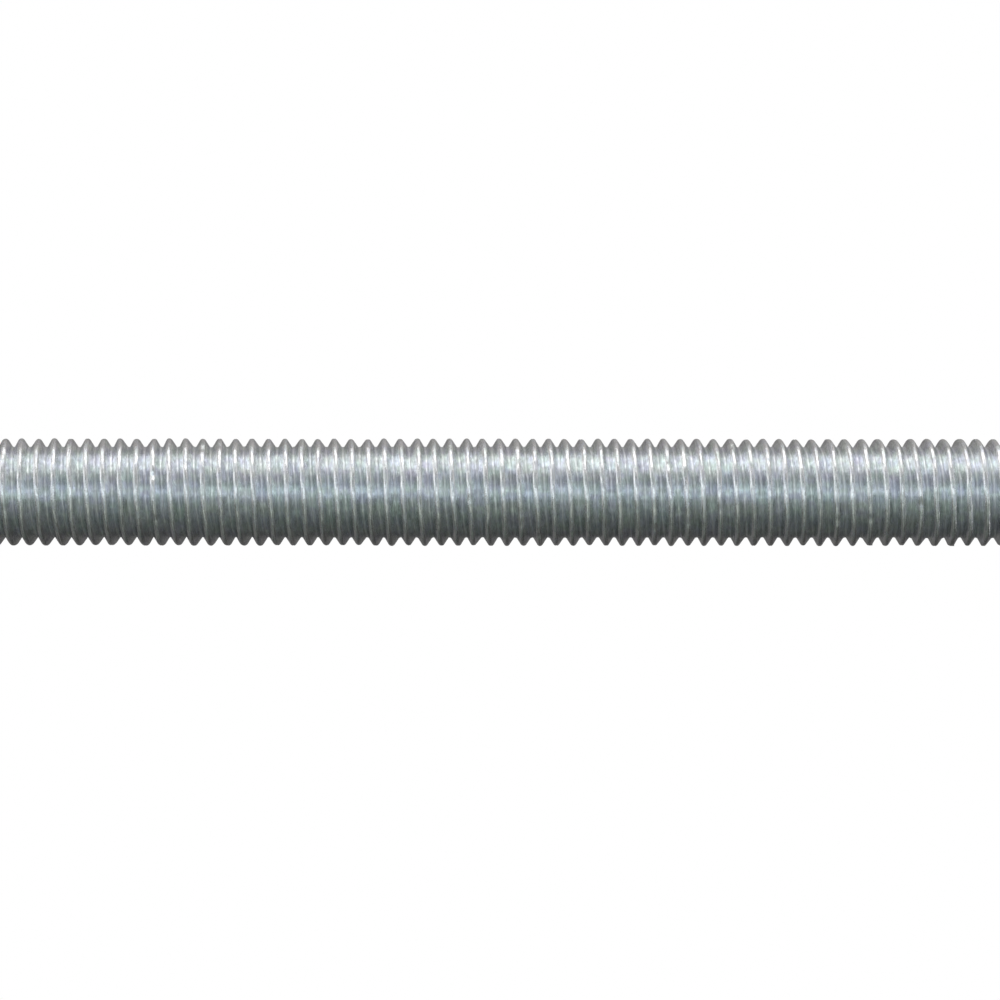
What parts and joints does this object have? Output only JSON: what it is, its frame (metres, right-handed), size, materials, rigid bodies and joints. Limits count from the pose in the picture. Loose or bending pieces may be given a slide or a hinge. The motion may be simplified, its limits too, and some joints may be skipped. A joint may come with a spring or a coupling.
{
  "type": "threaded rod",
  "caption": "Straight metric rod with a continuous right-hand thread over its whole length, chamfered square-cut ends and a bright zinc finish.",
  "frame": {"origin": "centre of the lower end face, on the rod's axis", "axes": "+Z along the rod's axis, from the lower end face to the upper one"},
  "size_m": [0.0098, 0.0098, 0.1],
  "materials": {
    "zinc_plated_steel": "bright zinc plating over rolled threads, slightly dulled, with fine streaks along the thread"
  },
  "bodies": {
    "root": {"threaded_rod": "zinc_plated_steel"}
  },
  "joints": []
}
